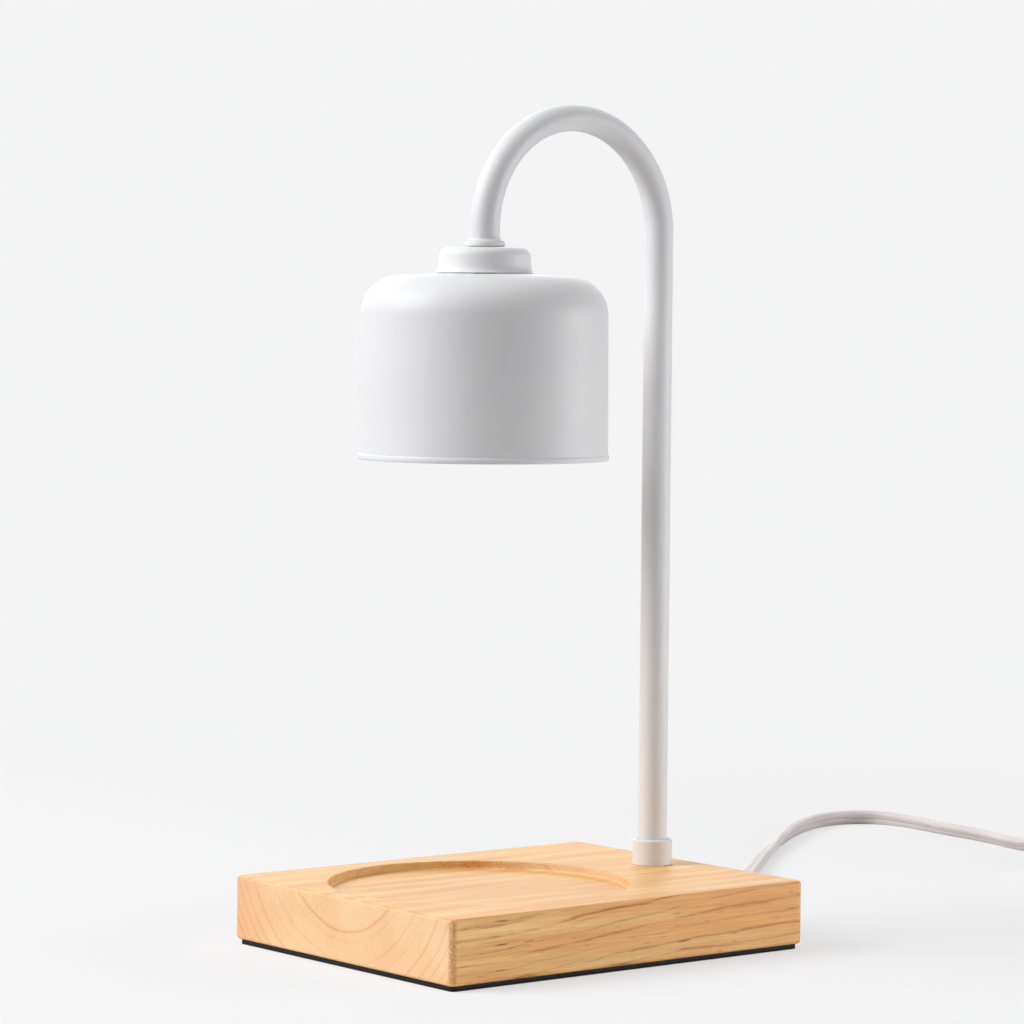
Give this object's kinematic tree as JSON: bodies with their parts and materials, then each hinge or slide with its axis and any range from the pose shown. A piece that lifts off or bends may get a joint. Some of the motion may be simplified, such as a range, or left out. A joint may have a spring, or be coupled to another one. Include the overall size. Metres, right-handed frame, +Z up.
{
  "type": "candle warmer lamp",
  "caption": "Table lamp that warms a jar candle from above: wooden base with a round dish, arched tube, small domed shade with a reflector bulb, flat cord with inline dimmer and plug.",
  "frame": {"origin": "middle of the base's footprint, on the table that the lamp stands on", "axes": "+Z up; +X along the base from the candle's dish towards the post; +Y across the base, towards the side on which the cord leaves the end face"},
  "size_m": [0.5855, 0.2807, 0.3447],
  "materials": {
    "wood": "satin varnish over open grain",
    "black_board": "matte black fibreboard",
    "foam_pad": "fine closed-cell foam",
    "white_paint": "satin white powder coat",
    "steel": "zinc plated",
    "brass": "plain",
    "ceramic": "unglazed, off-white",
    "clear_glass": "clear",
    "mirror_glass": "reflective coating on pressed glass",
    "white_plastic": "fine moulded texture",
    "circuit_board": "green solder mask",
    "cord_jacket": "soft white jacket with a slight sheen"
  },
  "bodies": {
    "lamp": {"base_block": "wood", "bottom_board": "black_board", "coil_tie": "black_board", "base_pad": "foam_pad", "arch_tube": "white_paint", "post_collar": "white_paint", "arm_end_ring": "white_paint", "shade_cap": "white_paint", "shade": "white_paint", "board_screw_1": "steel", "board_screw_2": "steel", "board_screw_3": "steel", "board_screw_4": "steel", "post_washer": "steel", "post_nut": "steel", "lock_washer": "steel", "holder_bracket": "steel", "holder_screw_1": "steel", "holder_screw_2": "steel", "clamp_screw_1": "steel", "clamp_screw_2": "steel", "dimmer_pot": "steel", "dimmer_screw_1": "steel", "dimmer_screw_2": "steel", "nipple": "brass", "lock_nut": "brass", "plug_blade_1": "brass", "plug_blade_2": "brass", "lamp_holder": "ceramic", "cord_bushing": "white_plastic", "cord_clamp": "white_plastic", "crimp_connector_1": "white_plastic", "crimp_connector_2": "white_plastic", "inner_wire_1": "white_plastic", "inner_wire_2": "white_plastic", "dimmer_lower_shell": "white_plastic", "dimmer_upper_shell": "white_plastic", "plug_body": "white_plastic", "dimmer_board": "circuit_board", "cord_tail": "cord_jacket", "cord_lead": "cord_jacket", "cord_link": "cord_jacket", "cord_coil": "cord_jacket", "cord_end": "cord_jacket"},
    "bulb": {"bulb_base": "ceramic", "bulb_reflector": "mirror_glass", "bulb_front_glass": "clear_glass", "bulb_capsule": "clear_glass", "bulb_pin_1": "steel", "bulb_pin_2": "steel"},
    "dimmer_knob": {"dimmer_wheel": "white_plastic", "dimmer_shaft": "steel"}
  },
  "joints": [
    {"name": "bulb_twist", "type": "hinge", "parent": "lamp", "child": "bulb", "pos_m": [-0.0206, 0, 0.2479], "axis": [0, 0, 1], "range_deg": [-25, 0]},
    {"name": "dimmer_turn", "type": "hinge", "parent": "lamp", "child": "dimmer_knob", "pos_m": [0.374, 0.011, 0.0085], "axis": [0, 0, 1], "range_deg": [0, 270]}
  ]
}
